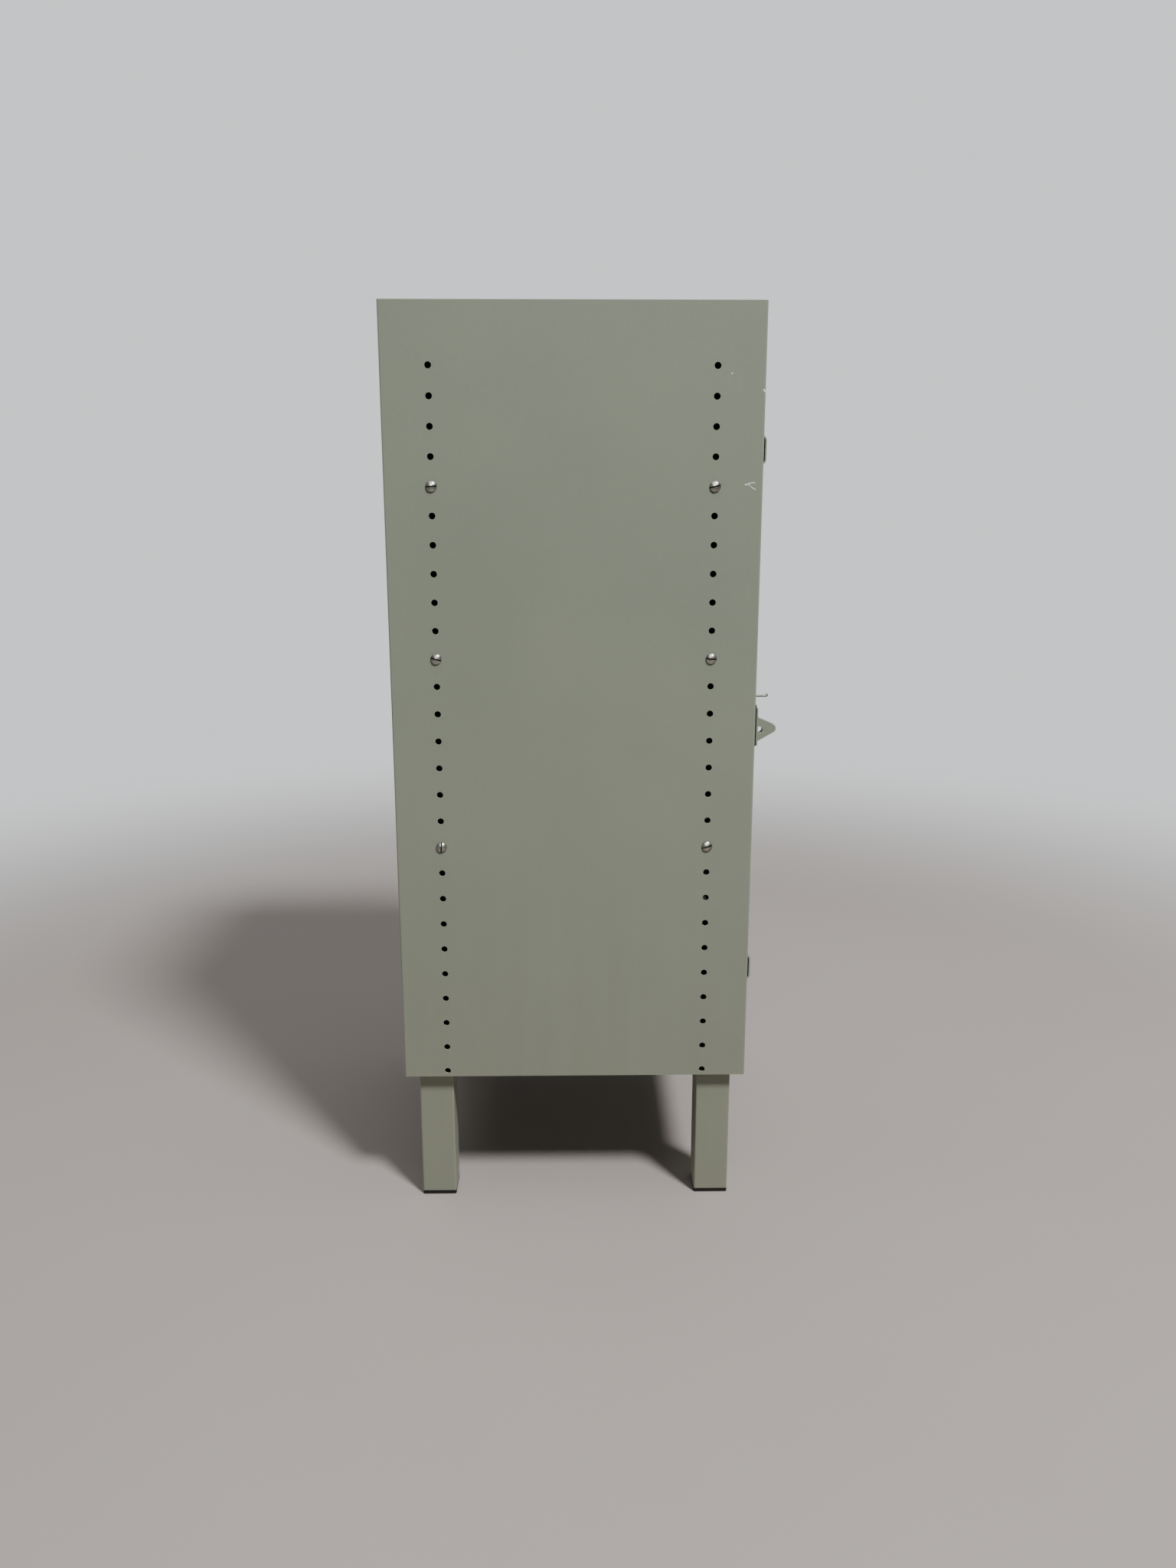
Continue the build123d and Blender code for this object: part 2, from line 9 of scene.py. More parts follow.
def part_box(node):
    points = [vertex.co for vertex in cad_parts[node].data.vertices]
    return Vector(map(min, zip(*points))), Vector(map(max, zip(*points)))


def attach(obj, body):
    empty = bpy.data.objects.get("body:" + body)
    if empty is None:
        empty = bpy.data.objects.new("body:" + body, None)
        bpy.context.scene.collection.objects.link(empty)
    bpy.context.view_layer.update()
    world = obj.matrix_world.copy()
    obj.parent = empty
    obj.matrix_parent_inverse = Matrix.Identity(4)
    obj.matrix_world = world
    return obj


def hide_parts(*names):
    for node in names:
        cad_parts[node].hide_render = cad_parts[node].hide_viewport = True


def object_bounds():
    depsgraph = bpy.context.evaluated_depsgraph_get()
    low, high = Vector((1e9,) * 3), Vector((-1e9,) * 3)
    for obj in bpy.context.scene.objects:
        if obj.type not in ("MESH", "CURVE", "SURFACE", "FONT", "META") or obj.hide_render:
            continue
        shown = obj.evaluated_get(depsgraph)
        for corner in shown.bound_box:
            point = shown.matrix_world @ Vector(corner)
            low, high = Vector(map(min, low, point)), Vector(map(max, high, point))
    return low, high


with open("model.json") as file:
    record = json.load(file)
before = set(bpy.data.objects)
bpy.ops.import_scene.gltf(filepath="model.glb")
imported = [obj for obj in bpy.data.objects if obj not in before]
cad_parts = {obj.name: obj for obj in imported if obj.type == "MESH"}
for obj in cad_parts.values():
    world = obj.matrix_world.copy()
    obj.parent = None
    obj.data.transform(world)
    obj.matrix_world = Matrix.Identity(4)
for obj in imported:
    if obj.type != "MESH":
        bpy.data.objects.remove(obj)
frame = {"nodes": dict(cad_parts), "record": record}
cad_low, cad_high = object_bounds()

# Steel cabinet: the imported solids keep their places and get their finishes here. Screws, nuts,
# bolts, rivet heads, spot welds and weld beads are grown on the places that the solids give.
# Lengths are in metres.
MM = 0.001
nodes = frame["nodes"]
bodies = frame["record"]["behaviour"]["bodies"]
slot_of = {part["node"]: part["material_slot"] for part in frame["record"]["subparts"]}
leg_names = ("front_left", "front_right", "rear_left", "rear_right")

# Boxes of the body and of the door's sheet without its vents
body_low, body_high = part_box("left_side_panel")
body_high = Vector((-body_low.x, body_high.y, body_high.z))
door_low, door_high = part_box("door_panel")
door_low = Vector((door_low.x, body_low.y, door_low.z))

# Sheet, and the flat widths of the two strips that are spot welded
sheet = 1.5 * MM
back_flange = 15.0 * MM
stiffener_foot = 10.0 * MM

# Shelf screws, with each slot's turn in degrees: rear and front on the left, then on the right
screw_rim = 0.9 * MM
screw_slot_width = 1.5 * MM
screw_slot_depth = 1.6 * MM
screw_shank = 6.0 * MM
screw_pitch = 1.0 * MM
screw_slot_turns = {
    "upper": (4, 13, -30, 65),
    "middle": (-16, -7, 80, 5),
    "lower": (87, 16, 40, -55),
}

# Painted shade on the screws: its strip along the slot, and the heights where it starts and is full
slot_shade_width = 1.53 * MM
slot_shade_start = 1.4 * MM
slot_shade_full = 0.6 * MM
rim_shade_start = 1.35 * MM
rim_shade_full = 0.81 * MM

# Nuts, leg bolts, and domes that reach a little past their rivets
nut_bore = 6.0 * MM
leg_bolt_shank = 8.0 * MM
leg_bolt_pitch = 1.25 * MM
leg_bolt_head = 5.5 * MM
rivet_dome = 1.1 * MM
rivet_rim = 0.2 * MM
rivet_cover = 0.3 * MM

# Spot welds and weld beads
spot_diameter = 5.5 * MM
spot_ring = 0.7 * MM
spot_proud = 0.12 * MM
spot_spacing = 78 * MM
spot_end_gap = 35 * MM
bead_radius = 2.2 * MM
bead_offset = 0.35 * bead_radius
bead_end_gap = 2 * bead_radius
bead_ripple = 0.3
bead_ripple_length = 2.6 * MM
bead_step = 0.8 * MM

# Marks on the left side: (depth, height) of both ends, a width, and the share of paint gone
side_marks = [
    ((-149.3 * MM, 939.9 * MM), (-148.9 * MM, 938.7 * MM), 1.3 * MM, 1.0),
    ((-182.2 * MM, 923.6 * MM), (-183.6 * MM, 921.4 * MM), 1.9 * MM, 1.0),
    ((-165.8 * MM, 828.9 * MM), (-170.4 * MM, 829.9 * MM), 1.4 * MM, 1.0),
    ((-169.6 * MM, 830.3 * MM), (-175.6 * MM, 831.0 * MM), 1.3 * MM, 0.7),
    ((-169.2 * MM, 828.4 * MM), (-172.0 * MM, 827.0 * MM), 1.0 * MM, 0.45),
    ((-172.6 * MM, 826.3 * MM), (-176.6 * MM, 824.0 * MM), 1.0 * MM, 0.9),
]

# Share by which the slide bolt is darkened evenly
bolt_darkening = 0.6

# Photograph: image height and focal length in pixels, where its camera stood and what it clips
photo_height = 2048
photo_focal = 1540.0
camera_place = Vector((-1.4667, 0.0174, 0.7982))
camera_pitch = math.radians(12.859)
camera_yaw = math.radians(0.859)
camera_near = 0.05
camera_far = 60.0
sensor = 36.0

# Studio: place, size and power of each lamp, aimed at the cabinet, and what its light falls on
lamp_aim = Vector((0.0, 0.0, 0.5))
lamps = {
    "key_lamp": (Vector((-3.4, -2.5, 5.7)), 1.2, 600.0, "everything"),
    "ceiling_lamp": (Vector((0.0, 0.0, 3.3)), 4.5, 63.0, "everything"),
    "back_lamp": (Vector((0.7, 3.2, 1.5)), 1.2, 34.0, "all_but_floor"),
    "right_lamp": (Vector((3.2, -0.5, 1.5)), 1.2, 34.0, "all_but_floor"),
    "screw_lamp": (Vector((-3.6, 0.3, 2.9)), 3.2, 130.0, "screws"),
}

# Surround's strength as light, in glossy reflections and before the camera
surround_light = 0.14
surround_mirrored = 0.5
surround_seen = 1.7

# Floor, which fades out between two distances from the middle
floor_radius = 3.0
floor_fade_start = 1.0
floor_fade_end = 2.55

# Distances under which points are joined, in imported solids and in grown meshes
packed_merge = 0.001 * MM
grown_merge = 0.002 * MM

# Fineness of the grown meshes. The ball that chamfers a hexagon has a radius that is a share of the
# diagonal over the flats and the height.
sharp_angle = math.radians(32)
round_sides = 48
dome_rings = 10
chamfer_rings = 32
chamfer_share = 0.505
shank_sides = 28
thread_steps = 24
thread_sides = 6
bore_sides = 32
spot_sides = 32
spot_section_sides = 8
bead_sides = 10
floor_sides = 160


def linear(colour):
    """Linear RGBA of an sRGB hex colour."""
    channels = [int(colour[i : i + 2], 16) / 255 for i in (1, 3, 5)]
    straight = [c / 12.92 if c <= 0.04045 else ((c + 0.055) / 1.055) ** 2.4 for c in channels]
    return (*straight, 1.0)


def per(size_mm):
    """Texture scale whose features are this many millimetres wide."""
    return 1.0 / (size_mm * MM)


def add(tree, kind, links=None, **settings):
    """Adds a node with its settings. Each link is an input's name or number with what feeds it: a
    node, which stands for its first output, a socket, a plain value, or a list of these."""
    node = tree.nodes.new(kind)
    for name, value in settings.items():
        setattr(node, name, value)
    for key, sources in (links or {}).items():
        for source in sources if isinstance(sources, list) else [sources]:
            if isinstance(source, bpy.types.Node):
                source = source.outputs[0]
            if isinstance(source, bpy.types.NodeSocket):
                tree.links.new(source, node.inputs[key])
            else:
                node.inputs[key].default_value = source
    return node


def start_material(name):
    """New material with an empty tree, and the piece's own coordinates."""
    material = bpy.data.materials.new(name)
    material.use_nodes = True
    material.node_tree.nodes.clear()
    coords = add(material.node_tree, "ShaderNodeTexCoord").outputs["Object"]
    return material, material.node_tree, coords


def end_material(tree, links):
    """Principled surface of a material."""
    surface = add(tree, "ShaderNodeBsdfPrincipled", links)
    add(tree, "ShaderNodeOutputMaterial", {"Surface": surface})


def edge_distance(tree, coords, low, high):
    """How far a point on a box's faces lies from the nearest edge of that box."""
    half = (high - low) / 2
    middle = (high + low) / 2
    offset = add(tree, "ShaderNodeVectorMath", {0: coords, 1: middle}, operation="SUBTRACT")
    size = add(tree, "ShaderNodeVectorMath", {0: offset}, operation="ABSOLUTE")
    depth = add(tree, "ShaderNodeVectorMath", {0: half, 1: size}, operation="SUBTRACT")
    x, y, z = add(tree, "ShaderNodeSeparateXYZ", {0: depth}).outputs
    lesser = add(tree, "ShaderNodeMath", {0: x, 1: y}, operation="MINIMUM")
    greater = add(tree, "ShaderNodeMath", {0: x, 1: y}, operation="MAXIMUM")
    inner = add(tree, "ShaderNodeMath", {0: greater, 1: z}, operation="MINIMUM")
    return add(tree, "ShaderNodeMath", {0: lesser, 1: inner}, operation="MAXIMUM")


def mark_mask(tree, coords, start, end, width, strength):
    """A strength on a stroke on the left side between two (depth, height) places, 0 elsewhere."""
    first = Vector((body_low.x, *start))
    along = Vector((0.0, end[0] - start[0], end[1] - start[1]))
    offset = add(tree, "ShaderNodeVectorMath", {0: coords, 1: first}, operation="SUBTRACT")
    reach = add(tree, "ShaderNodeVectorMath", {0: offset, 1: along}, operation="DOT_PRODUCT")
    share = {0: reach.outputs["Value"], 1: along.length_squared}
    share = add(tree, "ShaderNodeMath", share, operation="DIVIDE", use_clamp=True)
    nearest = add(tree, "ShaderNodeVectorMath", {0: along, "Scale": share}, operation="SCALE")
    gap = add(tree, "ShaderNodeVectorMath", {0: offset, 1: nearest}, operation="DISTANCE")
    ragged = add(tree, "ShaderNodeTexNoise", {"Vector": coords, "Scale": per(1.1), "Detail": 2.0})
    rough_width = add(tree, "ShaderNodeMath", {0: ragged, 1: width}, operation="MULTIPLY")
    spread = add(
        tree,
        "ShaderNodeMapRange",
        {"Value": gap.outputs["Value"], "From Min": rough_width, "From Max": 0.0, "To Max": 1.6},
    )
    return add(tree, "ShaderNodeMath", {0: spread, 1: strength}, operation="MINIMUM")


def grey_green_enamel(name, low, high, marks=(), even_darkening=0.0):
    """Stove enamel sprayed on sheet steel: satin grey-green with a fine orange peel, faintly clouded
    by age. Dust dulls what faces up, and grimy runs gather low down in a warm tint that is partly
    painted bounce light from the floor. A piece can be darkened evenly, and rare chips on the edges
    show undercoat."""
    material, tree, coords = start_material(name)
    clouds = add(tree, "ShaderNodeTexNoise", {"Vector": coords, "Scale": per(150), "Detail": 3.0})
    specks = add(tree, "ShaderNodeTexNoise", {"Vector": coords, "Scale": per(5), "Detail": 4.0})
    tone = add(tree, "ShaderNodeMix", {0: 0.3, 2: clouds, 3: specks}, data_type="FLOAT")
    tone = add(tree, "ShaderNodeMapRange", {"Value": tone, "From Min": 0.35, "From Max": 0.65})
    colours = {0: tone, 6: linear("#818878"), 7: linear("#858c7b")}
    colour = add(tree, "ShaderNodeMix", colours, data_type="RGBA").outputs[2]

    # Grimy runs, strongest at the bottom, partly painted warm bounce light from the floor
    stretch = add(tree, "ShaderNodeMapping", {"Vector": coords, "Scale": (1.0, 1.0, 0.07)})
    runs = add(tree, "ShaderNodeTexNoise", {"Vector": stretch, "Scale": per(22), "Detail": 4.0})
    height = add(tree, "ShaderNodeSeparateXYZ", {0: coords}).outputs[2]
    ramp = {"Value": height, "From Min": 0.5, "From Max": 0.0, "To Min": 0.02, "To Max": 0.45}
    low_down = add(tree, "ShaderNodeMapRange", ramp)
    grime_and_bounce = add(tree, "ShaderNodeMath", {0: runs, 1: low_down}, operation="MULTIPLY")
    colours = {0: grime_and_bounce, 6: colour, 7: linear("#74665d")}
    colour = add(tree, "ShaderNodeMix", colours, data_type="RGBA").outputs[2]

    # Darkened evenly towards near black
    if even_darkening:
        colours = {0: even_darkening, 6: colour, 7: linear("#2e2c27")}
        colour = add(tree, "ShaderNodeMix", colours, data_type="RGBA").outputs[2]

    # Dust on what faces up
    facing = add(tree, "ShaderNodeNewGeometry").outputs["Normal"]
    upward = add(tree, "ShaderNodeSeparateXYZ", {0: facing}).outputs[2]
    upward = {"Value": upward, "From Min": 0.6, "From Max": 1.0, "To Max": 0.45}
    upward = add(tree, "ShaderNodeMapRange", upward)
    film = add(tree, "ShaderNodeTexNoise", {"Vector": coords, "Scale": per(40), "Detail": 6.0})
    dust = add(tree, "ShaderNodeMath", {0: upward, 1: film}, operation="MULTIPLY")
    colours = {0: dust, 6: colour, 7: linear("#a5a296")}
    colour = add(tree, "ShaderNodeMix", colours, data_type="RGBA").outputs[2]

    # Chipped edges and the marks, down to the undercoat
    edge = edge_distance(tree, coords, low, high)
    near = {"Value": edge, "From Min": 1.8 * MM, "From Max": 0.3 * MM}
    near = add(tree, "ShaderNodeMapRange", near)
    chips = add(tree, "ShaderNodeTexNoise", {"Vector": coords, "Scale": per(8), "Detail": 4.0})
    chips = add(tree, "ShaderNodeMapRange", {"Value": chips, "From Min": 0.7, "From Max": 0.74})
    worn = add(tree, "ShaderNodeMath", {0: near, 1: chips}, operation="MULTIPLY")
    for mark in marks:
        mark = mark_mask(tree, coords, *mark)
        worn = add(tree, "ShaderNodeMath", {0: worn, 1: mark}, operation="MAXIMUM")
    colours = {0: worn, 6: colour, 7: linear("#f3f2ec")}
    colour = add(tree, "ShaderNodeMix", colours, data_type="RGBA").outputs[2]

    # Orange peel, drawn a little coarse so that it shows
    peel = add(tree, "ShaderNodeTexNoise", {"Vector": coords, "Scale": per(3.2), "Detail": 1.5})
    relief = add(tree, "ShaderNodeMix", {0: worn, 2: peel, 3: 0.0}, data_type="FLOAT")
    bump = add(tree, "ShaderNodeBump", {"Height": relief, "Strength": 0.12, "Distance": 0.15 * MM})

    dull = add(tree, "ShaderNodeMath", {0: grime_and_bounce, 1: dust}, operation="ADD")
    dull = add(tree, "ShaderNodeMix", {0: 0.5, 2: dull, 3: specks}, data_type="FLOAT")
    gloss = {"Value": dull, "From Max": 0.6, "To Min": 0.4, "To Max": 0.62}
    gloss = add(tree, "ShaderNodeMapRange", gloss)
    surface = {"Base Color": colour, "Roughness": gloss, "Normal": bump}
    end_material(tree, {**surface, "IOR": 1.5, "Specular IOR Level": 0.4})
    return material


def nickel_plated_steel(name, slot_floor):
    """Turned steel with bright nickel: mirror-like with fine turning rings and tarnished in patches,
    with painted shade in the slot and round the rim."""
    material, tree, coords = start_material(name)
    place = add(tree, "ShaderNodeAttribute", attribute_name="own_place").outputs["Vector"]
    x, y, z = add(tree, "ShaderNodeSeparateXYZ", {0: place}).outputs
    across = add(tree, "ShaderNodeCombineXYZ", {"X": x, "Y": y})
    radius = add(tree, "ShaderNodeVectorMath", {0: across}, operation="LENGTH").outputs["Value"]
    ring_turn = per(0.35) * 2 * math.pi
    turns = add(tree, "ShaderNodeMath", {0: radius, 1: ring_turn}, operation="MULTIPLY")
    rings = add(tree, "ShaderNodeMath", {0: turns}, operation="SINE")
    patches = add(tree, "ShaderNodeTexNoise", {"Vector": coords, "Scale": per(4), "Detail": 4.0})
    tarnish = add(tree, "ShaderNodeMapRange", {"Value": patches, "From Min": 0.45, "From Max": 0.7})
    colours = {0: tarnish, 6: linear("#a3a49b"), 7: linear("#7a776e")}
    colour = add(tree, "ShaderNodeMix", colours, data_type="RGBA").outputs[2]

    # Painted shade in the slot and round the rim
    start = slot_floor + slot_shade_start
    full = slot_floor + slot_shade_full
    deep = add(tree, "ShaderNodeMapRange", {"Value": z, "From Min": start, "From Max": full})
    aside = add(tree, "ShaderNodeMath", {0: y}, operation="ABSOLUTE")
    strip = {0: aside, 1: slot_shade_width / 2}
    inside = add(tree, "ShaderNodeMath", strip, operation="LESS_THAN")
    painted_shade = add(tree, "ShaderNodeMath", {0: deep, 1: inside}, operation="MULTIPLY")
    rim = {"Value": z, "From Min": rim_shade_start, "From Max": rim_shade_full, "To Max": 0.9}
    rim = add(tree, "ShaderNodeMapRange", rim)
    painted_shade = add(tree, "ShaderNodeMath", {0: painted_shade, 1: rim}, operation="MAXIMUM")
    colours = {0: painted_shade, 6: colour, 7: linear("#2b2823")}
    colour = add(tree, "ShaderNodeMix", colours, data_type="RGBA").outputs[2]
    gloss = add(tree, "ShaderNodeMapRange", {"Value": patches, "To Min": 0.18, "To Max": 0.4})
    bump = add(tree, "ShaderNodeBump", {"Height": rings, "Strength": 0.1, "Distance": 0.02 * MM})
    end_material(tree, {"Base Color": colour, "Metallic": 1.0, "Roughness": gloss, "Normal": bump})
    return material


def zinc_plated_steel(name):
    """Electroplated zinc on pressed steel: a satin blue-grey sheen, clouded, with dull patches."""
    material, tree, coords = start_material(name)
    clouds = add(tree, "ShaderNodeTexNoise", {"Vector": coords, "Scale": per(6), "Detail": 5.0})
    grain = add(tree, "ShaderNodeTexNoise", {"Vector": coords, "Scale": per(0.8), "Detail": 2.0})
    colours = {0: clouds, 6: linear("#a3a6a6"), 7: linear("#c3c3bd")}
    colour = add(tree, "ShaderNodeMix", colours, data_type="RGBA").outputs[2]
    gloss = add(tree, "ShaderNodeMapRange", {"Value": clouds, "To Min": 0.28, "To Max": 0.5})
    bump = add(tree, "ShaderNodeBump", {"Height": grain, "Strength": 0.12, "Distance": 0.04 * MM})
    end_material(tree, {"Base Color": colour, "Metallic": 1.0, "Roughness": gloss, "Normal": bump})
    return material


def black_polythene(name):
    """Moulded low-density polythene: near black and waxy, scuffed grey in fine scratches, with dust
    where it meets the floor."""
    material, tree, coords = start_material(name)
    stretch = add(tree, "ShaderNodeMapping", {"Vector": coords, "Scale": (1.0, 1.0, 6.0)})
    scuffs = add(tree, "ShaderNodeTexNoise", {"Vector": stretch, "Scale": per(6), "Detail": 6.0})
    scuffs = add(tree, "ShaderNodeMapRange", {"Value": scuffs, "From Min": 0.6, "From Max": 0.85})
    height = add(tree, "ShaderNodeSeparateXYZ", {0: coords}).outputs[2]
    ramp = {"Value": height, "From Min": 3.0 * MM, "From Max": 0.0, "To Max": 0.4}
    floor_dust = add(tree, "ShaderNodeMapRange", ramp)
    pale = add(tree, "ShaderNodeMath", {0: scuffs, 1: floor_dust}, operation="MAXIMUM")
    pale = add(tree, "ShaderNodeMath", {0: pale, 1: 0.5}, operation="MULTIPLY")
    colours = {0: pale, 6: linear("#0f0f0e"), 7: linear("#45423d")}
    colour = add(tree, "ShaderNodeMix", colours, data_type="RGBA").outputs[2]
    gloss = add(tree, "ShaderNodeMapRange", {"Value": pale, "To Min": 0.42, "To Max": 0.75})
    grain = add(tree, "ShaderNodeTexNoise", {"Vector": coords, "Scale": per(0.9), "Detail": 2.0})
    bump = add(tree, "ShaderNodeBump", {"Height": grain, "Strength": 0.15, "Distance": 0.06 * MM})
    surface = {"Base Color": colour, "Roughness": gloss, "Normal": bump}
    end_material(tree, {**surface, "IOR": 1.51, "Specular IOR Level": 0.3})
    return material


def black_rubber(name):
    """Moulded nitrile rubber: matt black with a chalky bloom."""
    material, tree, coords = start_material(name)
    bloom = add(tree, "ShaderNodeTexNoise", {"Vector": coords, "Scale": per(5), "Detail": 5.0})
    colours = {0: bloom, 6: linear("#141414"), 7: linear("#2c2b29")}
    colour = add(tree, "ShaderNodeMix", colours, data_type="RGBA").outputs[2]
    gloss = add(tree, "ShaderNodeMapRange", {"Value": bloom, "To Min": 0.65, "To Max": 0.9})
    grain = add(tree, "ShaderNodeTexNoise", {"Vector": coords, "Scale": per(0.7), "Detail": 3.0})
    bump = add(tree, "ShaderNodeBump", {"Height": grain, "Strength": 0.2, "Distance": 0.08 * MM})
    end_material(tree, {"Base Color": colour, "Roughness": gloss, "IOR": 1.52, "Normal": bump})
    return material


def solid_boxes(node):
    """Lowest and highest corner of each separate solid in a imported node."""
    work = bmesh.new()
    work.from_mesh(nodes[node].data)
    bmesh.ops.remove_doubles(work, verts=work.verts, dist=packed_merge)
    left = set(work.verts)
    boxes = []
    while left:
        island = [left.pop()]
        for vert in island:
            for edge in vert.link_edges:
                other = edge.other_vert(vert)
                if other in left:
                    left.remove(other)
                    island.append(other)
        low = Vector(min(v.co[i] for v in island) for i in range(3))
        high = Vector(max(v.co[i] for v in island) for i in range(3))
        boxes.append((low, high))
    work.free()
    return sorted(boxes, key=lambda box: tuple(round(c, 5) for c in (*box[0], *box[1])))


def start_tree(name, sizes):
    """Geometry Nodes tree with places, named sizes and a finish as inputs."""
    tree = bpy.data.node_groups.new(name, "GeometryNodeTree")
    tree.interface.new_socket("Places", in_out="INPUT", socket_type="NodeSocketGeometry")
    for size in sizes:
        tree.interface.new_socket(size, in_out="INPUT", socket_type="NodeSocketFloat")
    tree.interface.new_socket("Finish", in_out="INPUT", socket_type="NodeSocketMaterial")
    tree.interface.new_socket("Pieces", in_out="OUTPUT", socket_type="NodeSocketGeometry")
    return tree, add(tree, "NodeGroupInput").outputs


def end_tree(tree, given, pieces):
    """Real pieces with their finish as a tree's output."""
    real = add(tree, "GeometryNodeRealizeInstances", {"Geometry": pieces})
    dressed = add(tree, "GeometryNodeSetMaterial", {"Geometry": real, "Material": given["Finish"]})
    add(tree, "NodeGroupOutput", {"Pieces": dressed})


def copies_on(tree, points, shape):
    """Copies of a shape on points, each with the point's own turn and its own coordinates."""
    place = add(tree, "GeometryNodeInputPosition")
    named = {"Geometry": shape, "Name": "own_place", "Value": place}
    shape = add(tree, "GeometryNodeStoreNamedAttribute", named, data_type="FLOAT_VECTOR")
    turn = add(tree, "GeometryNodeInputNamedAttribute", {"Name": "turn"}, data_type="FLOAT_VECTOR")
    turn = add(tree, "FunctionNodeEulerToRotation", {0: turn})
    copies = {"Points": points, "Instance": shape, "Rotation": turn}
    return add(tree, "GeometryNodeInstanceOnPoints", copies)


def shifted(tree, shape, height):
    """A shape moved along Z."""
    step = add(tree, "ShaderNodeCombineXYZ", {"Z": height})
    return add(tree, "GeometryNodeTransform", {"Geometry": shape, "Translation": step})


def hexagon_body(tree, flats, height):
    """Hexagon prism round Z = 0 with chamfered corners."""
    corner = add(tree, "ShaderNodeMath", {0: flats, 1: 1 / math.sqrt(3)}, operation="MULTIPLY")
    prism = {"Vertices": 6, "Radius": corner, "Depth": height}
    prism = add(tree, "GeometryNodeMeshCylinder", prism)
    size = add(tree, "ShaderNodeCombineXYZ", {"X": flats, "Y": height})
    diagonal = add(tree, "ShaderNodeVectorMath", {0: size}, operation="LENGTH").outputs["Value"]
    round_off = {0: diagonal, 1: chamfer_share}
    round_off = add(tree, "ShaderNodeMath", round_off, operation="MULTIPLY")
    ball = {"Segments": round_sides, "Rings": chamfer_rings, "Radius": round_off}
    ball = add(tree, "GeometryNodeMeshUVSphere", ball)
    # Turned by half a segment, so that none of the ball's edges runs through a corner of the prism
    ball = {"Geometry": ball, "Rotation": Euler((0.0, 0.0, math.pi / round_sides))}
    ball = add(tree, "GeometryNodeTransform", ball)
    return add(tree, "GeometryNodeMeshBoolean", {"Mesh 2": [prism, ball]}, operation="INTERSECT")


def threaded_shank(tree, diameter, length, pitch):
    """Shank up from Z = 0 with a raised thread wound round it."""
    radius = add(tree, "ShaderNodeMath", {0: diameter, 1: 0.5}, operation="MULTIPLY")
    core = add(tree, "ShaderNodeMath", {0: pitch, 1: -0.5, 2: radius}, operation="MULTIPLY_ADD")
    middle = add(tree, "ShaderNodeMath", {0: length, 1: 0.5}, operation="MULTIPLY")
    rod = {"Vertices": shank_sides, "Radius": core, "Depth": length}
    rod = add(tree, "GeometryNodeMeshCylinder", rod)
    turns = add(tree, "ShaderNodeMath", {0: length, 1: pitch}, operation="DIVIDE")
    crest = add(tree, "ShaderNodeMath", {0: pitch, 1: 0.4}, operation="MULTIPLY")
    line = add(tree, "ShaderNodeMath", {0: radius, 1: crest}, operation="SUBTRACT")
    helix = {"Rotations": turns, "Start Radius": line, "End Radius": line, "Height": length}
    spiral = add(tree, "GeometryNodeCurveSpiral", {"Resolution": thread_steps, **helix})
    ridge = {"Resolution": thread_sides, "Radius": crest}
    ridge = add(tree, "GeometryNodeCurvePrimitiveCircle", ridge)
    sweep = {"Curve": spiral, "Profile Curve": ridge, "Fill Caps": True}
    thread = add(tree, "GeometryNodeCurveToMesh", sweep)
    return add(tree, "GeometryNodeJoinGeometry", {"Geometry": [shifted(tree, rod, middle), thread]})


def domed_head(tree, diameter, height, dome_radius):
    """Round head up from Z = 0 with a domed top."""
    radius = add(tree, "ShaderNodeMath", {0: diameter, 1: 0.5}, operation="MULTIPLY")
    middle = add(tree, "ShaderNodeMath", {0: height, 1: 0.5}, operation="MULTIPLY")
    sizes = {"Radius": radius, "Depth": height}
    barrel = {"Vertices": round_sides, "Fill Segments": dome_rings, **sizes}
    barrel = add(tree, "GeometryNodeMeshCylinder", barrel, fill_type="TRIANGLE_FAN")
    # Points of the barrel's top move to the height of the dome's ball above them
    place = add(tree, "GeometryNodeInputPosition")
    x, y = add(tree, "ShaderNodeSeparateXYZ", {0: place}).outputs[:2]
    across = add(tree, "ShaderNodeCombineXYZ", {"X": x, "Y": y})
    reach = add(tree, "ShaderNodeVectorMath", {0: across, 1: across}, operation="DOT_PRODUCT")
    square = add(tree, "ShaderNodeMath", {0: dome_radius, 1: dome_radius}, operation="MULTIPLY")
    rise = {0: square, 1: reach.outputs["Value"]}
    rise = add(tree, "ShaderNodeMath", rise, operation="SUBTRACT")
    rise = add(tree, "ShaderNodeMath", {0: rise}, operation="SQRT")
    drop = add(tree, "ShaderNodeMath", {0: height, 1: dome_radius}, operation="SUBTRACT")
    top = add(tree, "ShaderNodeMath", {0: rise, 1: drop}, operation="ADD")
    dome = add(tree, "ShaderNodeCombineXYZ", {"X": x, "Y": y, "Z": top})
    top_points = {"Selection": barrel.outputs["Top"], "Position": dome}
    head = {"Geometry": shifted(tree, barrel, middle), **top_points}
    return add(tree, "GeometryNodeSetPosition", head)


def dome_radius_of(diameter, height, rim):
    """Radius of the ball that the top of a domed head with a straight rim follows."""
    dome = height - rim
    return ((diameter / 2) ** 2 + dome**2) / (2 * dome)


